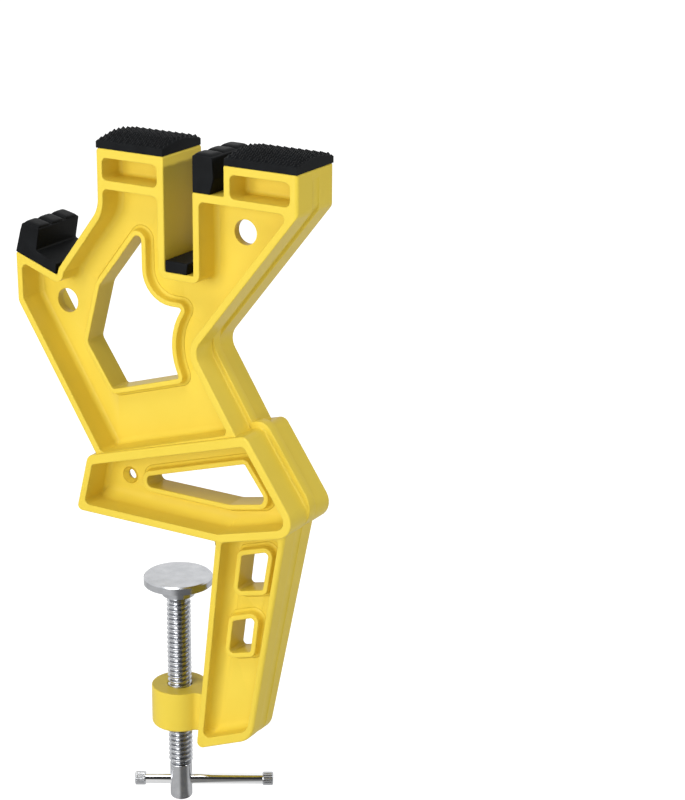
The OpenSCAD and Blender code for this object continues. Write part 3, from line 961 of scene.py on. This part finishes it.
def edge_pad(name, node, outline, lug_edge=None, lean=0.0):
    """An outline carried from the middle to the front, where it rounds off. Along the lugs'
    edge the points are pushed outwards by height * (1 - |t|^4)^0.6 across a lug, with t from
    its middle to its rim, times (1 - |s|^6)^0.5 along it, with s from end to end. Towards
    the edge's start the push leans over by lean times the square of s."""
    stations = {} if lug_edge is None else {lug_edge: np.linspace(0.02, 0.98, 25)}
    base = ring(outline, stations)
    y_front = PAD_DEPTH / 2
    y = np.array([0, y_front - PAD_EDGE])
    push = np.zeros(base.shape)
    lift = np.zeros(2)
    if lug_edge is not None:
        pitch = PAD_DEPTH / LUG_COUNT
        half_lug = pitch * LUG_SHARE
        sweep = np.linspace(-math.pi / 2, math.pi / 2, 2 * LUG_STEPS + 1)
        across = half_lug * np.sin(sweep)
        y = np.concatenate([across[LUG_STEPS:], pitch + across, [y_front - PAD_EDGE]])
        t = np.clip((y - pitch * np.round(y / pitch)) / half_lug, -1, 1)
        lift = LUG_HEIGHT * (1 - np.abs(t) ** 4) ** 0.6
        first, last = outline[lug_edge, :2], outline[(lug_edge + 1) % len(outline), :2]
        along = edges_of(outline)[lug_edge]
        outwards = -left_of(along[None, :])[0]
        middle = (first + last) / 2
        s = (base - middle) @ along / (np.linalg.norm(last - first) / 2 - LUG_MARGIN)
        on_edge = (np.abs((base - middle) @ outwards) < ON_EDGE) & (np.abs(s) < 1)
        share = np.where(on_edge, np.maximum(1 - np.abs(s) ** 6, 0) ** 0.5, 0)
        leaning = share * lean * np.minimum(s, 0) ** 2
        push = outwards * share[:, None] - along * leaning[:, None]
    shell = Patches()
    rows = [lifted(base + push * h, -v) for v, h in zip(y, lift)]
    for inward, short in quarter(4)[1:]:
        plan = ring(moved(outline, PAD_EDGE * inward), stations)
        rows.append(lifted(plan, PAD_EDGE * short - y_front))
    shell.grid(np.stack(rows))
    points, triangles = fill([plan])
    shell.put(lifted(points, -y_front), triangles)
    shell.mirrored()
    made = piece(name, shell, rubber, "frame", "pad_rubber", node)


cradle_outline = np.array(
    [
        [-94.9, 147.8, 0.3],
        [-67.2, 138.25, 0.3],
        [-66.8, 144.1, 1],
        [-80.5, 150.1, 1.2],
        [-78, 162.8, 0.8],
        [-89.7, 165.2, 1.5],
        [-91.3, 160.8, 4],
    ]
)
ledge_outline = np.array(
    [
        [25.8, LEDGE_Z, 0.3],
        [36.8, LEDGE_Z, 0.3],
        [39.3, 205.5, 3],
        [38.6, 217.3, 1],
        [25.8, 217.3, 1],
    ]
)
slot_outline = np.array(
    [[7.5, SLOT_Z, 0.3], [21.2, SLOT_Z, 0.3], [22.3, 157, 0.8], [7.5, 157, 0.8]]
)
edge_pad("cradle_pad_lugged", "cradle_pad", cradle_outline, lug_edge=4, lean=0.9)
edge_pad("ledge_pad_lugged", "ledge_pad", ledge_outline, lug_edge=3)
edge_pad("slot_pad_block", "slot_pad", slot_outline)


# Clamp screw. A zinc-plated steel spindle with a right-hand trapezoidal thread. Its upper
# end is a ball in the shoe, its lower end a plain hub with a cross hole for the handle bar.
CREST, ROOT, PITCH = 7.0, 5.25, 3.0
THREAD_LOW, THREAD_HIGH = -156.6, -49.8
THREAD_STEPS, THREAD_START, THREAD_FADE = 48, 0.2, 1.6
HUB_RADIUS, HUB_LOW, HUB_HIGH = 6.5, -178.8, THREAD_LOW + 0.3
HUB_END, HUB_EDGE = 1.8, 0.5
BALL_RADIUS, BALL_Z, BALL_NECK = 5.2, -42.9, 3.5
BALL_STEPS, HUB_STEPS = 20, 96


def turned(shell, profile, steps=64):
    """A profile of radius and height turned round the z axis. A radius of nothing at both
    ends closes the surface there."""
    radius, height = np.asarray(profile, float).T[:, :, None]
    x, y = unit_circle(steps).T
    shell.grid(np.stack(np.broadcast_arrays(radius * x, radius * y, height), axis=-1))


def helix(shell):
    """The thread: a trapezoid carried up a helix. A point at angle a and share p of the
    pitch lies at height low + pitch * (turns + p + a / full turn), at a radius that rises
    from the root to the crest and back; both ends run out to the root."""
    share = np.array([0.0, 0.17, 0.22, 0.33, 0.38, 0.62, 0.67, 0.78, 0.83])
    rise = np.array([0.0, 0.0, 0.14, 0.88, 1.0, 1.0, 0.88, 0.14, 0.0])
    turns = math.ceil((THREAD_HIGH - THREAD_LOW) / PITCH) + 1
    level = (np.arange(turns)[:, None] + share[None, :]).ravel() - 1
    lift = np.tile(rise, turns)
    angle = np.linspace(0, 2 * math.pi, THREAD_STEPS + 1)
    z = THREAD_LOW + PITCH * (level[:, None] + angle[None, :] / (2 * math.pi))
    ends = np.minimum(z - THREAD_LOW, THREAD_HIGH - z)
    fade = np.clip((ends - THREAD_START) / THREAD_FADE, 0, 1)
    radius = ROOT + (CREST - ROOT) * lift[:, None] * fade
    z = np.clip(z, THREAD_LOW, THREAD_HIGH)
    points = np.stack([radius * np.cos(angle), radius * np.sin(angle), z], axis=-1)
    shell.grid(points, closed=False)


def arc_profile(radius, middle, first, last, count):
    """Points of radius and height on a circle about the axis, between two angles in degrees."""
    angle = np.radians(np.linspace(first, last, count))
    return np.stack([radius * np.cos(angle), middle + radius * np.sin(angle)], axis=1)


spindle = Patches()
helix(spindle)
for z in (THREAD_LOW, THREAD_HIGH):
    turned(spindle, [[0, z], [ROOT, z]], THREAD_STEPS)
neck_angle = -math.degrees(math.acos(BALL_NECK / BALL_RADIUS))
ball = arc_profile(BALL_RADIUS, BALL_Z, neck_angle, 90, BALL_STEPS)
neck_low = THREAD_HIGH - 1
turned(spindle, [[0, neck_low], [BALL_NECK, neck_low], *ball])
hub = [[0, HUB_LOW]]
hub += [[HUB_RADIUS - i, HUB_LOW + s] for i, s in quarter(7)[::-1] * HUB_END]
hub += [[HUB_RADIUS - i, HUB_HIGH - s] for i, s in quarter(4) * HUB_EDGE]
hub += [[0, HUB_HIGH]]
turned(spindle, hub, HUB_STEPS)

ZINC_COLOURS = ((0.45, 0.46, 0.48, 1), (0.55, 0.56, 0.58, 1))
plated = Finish(bpy.data.materials.new("zinc_plated_steel"))
place = plated.out(plated.add("ShaderNodeTexCoord"), "Object")
cloud = plated.noise(place, scale=160.0, detail=3.0)
lathe_marks = plated.add("ShaderNodeMapping", Vector=place, Scale=(60, 60, 2600))
turning = plated.noise(plated.out(lathe_marks), scale=1.0, detail=2.0)
colour = plated.mix(cloud.within(*CLOUD_EDGES), *ZINC_COLOURS)
principled = plated.add(
    "ShaderNodeBsdfPrincipled",
    Base_Color=colour,
    Metallic=1.0,
    Roughness=0.16 + turning * 0.14,
    Normal=plated.bump(turning, distance=0.00003, strength=0.3),
)
zinc = plated.close(principled)
piece("clamp_screw_threaded", spindle, zinc, "screw", "screw_steel", "clamp_screw")

# Handle bar. A chromed round bar that slides in the hub, with a ribbed cap pressed on each
# end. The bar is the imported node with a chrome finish; the caps have the screw's plating.
BAR_Z, BAR_ANGLE = -167.4, math.radians(30.8)
BAR_FROM, BAR_TO = -27.3, 54.8
CAP_RADIUS, CAP_LENGTH, CAP_CHAMFER = 4.0, 6.3, 0.6
RIBS, RIB_DEPTH, RIB_END = 18, 0.35, 0.3
RIB_STEPS = 8
CAP_BULGE = 0.15


def bar_cap(name, node, end, inwards):
    """A disc, a ribbed barrel and a flat inner face about the bar's axis. The barrel's radius
    is radius - depth * w * (1 - |cos(ribs * a / 2)|), where w falls to nothing at its ends.
    A row of the profile is radius, distance from the outer face and w; the outer face has a
    chamfer and the inner one a round edge."""
    body_end = CAP_LENGTH - CAP_CHAMFER
    profile = np.array(
        [
            [0, 0, 0],
            [CAP_RADIUS - CAP_CHAMFER, 0, 0],
            [CAP_RADIUS - CAP_BULGE, CAP_CHAMFER * 0.7, 0],
            [CAP_RADIUS, CAP_CHAMFER, 0],
            [CAP_RADIUS, CAP_CHAMFER + RIB_END, 1],
            [CAP_RADIUS, body_end - RIB_END, 1],
            [CAP_RADIUS, body_end, 0],
            [CAP_RADIUS - CAP_BULGE, CAP_LENGTH - CAP_CHAMFER * 0.3, 0],
            [CAP_RADIUS - CAP_CHAMFER, CAP_LENGTH, 0],
            [0, CAP_LENGTH, 0],
        ]
    )
    angle = np.linspace(0, 2 * math.pi, RIBS * RIB_STEPS, endpoint=False)
    radius, run, ribbed = profile.T[:, :, None]
    radius = radius - RIB_DEPTH * ribbed * (1 - np.abs(np.cos(RIBS * angle / 2)))
    along = end + inwards * run
    side = radius * np.cos(angle)
    x = along * math.cos(BAR_ANGLE) - side * math.sin(BAR_ANGLE)
    y = along * math.sin(BAR_ANGLE) + side * math.cos(BAR_ANGLE)
    shell = Patches()
    shell.grid(np.stack([x, y, BAR_Z + radius * np.sin(angle)], axis=-1))
    piece(name, shell, zinc, "bar", "bar_chrome", node)


def refinish(node, material):
    """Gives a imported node, which stays as it is, another finish."""
    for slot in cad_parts[node].material_slots:
        slot.material = material


CHROME_COLOURS = ((0.84, 0.85, 0.86, 1), (0.9, 0.9, 0.91, 1))
chromed = Finish(bpy.data.materials.new("chrome"))
place = chromed.out(chromed.add("ShaderNodeTexCoord"), "Object")
haze = chromed.noise(place, scale=220.0, detail=3.0)
principled = chromed.add(
    "ShaderNodeBsdfPrincipled",
    Base_Color=chromed.mix(haze, *CHROME_COLOURS),
    Metallic=1.0,
    Roughness=0.05 + haze * 0.06,
)
refinish("handle_bar", chromed.close(principled))
bar_cap("bar_cap_left_ribbed", "bar_cap_left", BAR_FROM, 1)
bar_cap("bar_cap_right_ribbed", "bar_cap_right", BAR_TO, -1)

# Shoe. A turned steel disc with a collar, and an open wire ring in the collar that keeps
# the screw's ball in its socket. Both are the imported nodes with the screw's finish.
refinish("shoe_plate", zinc)
refinish("shoe_snap_ring", zinc)
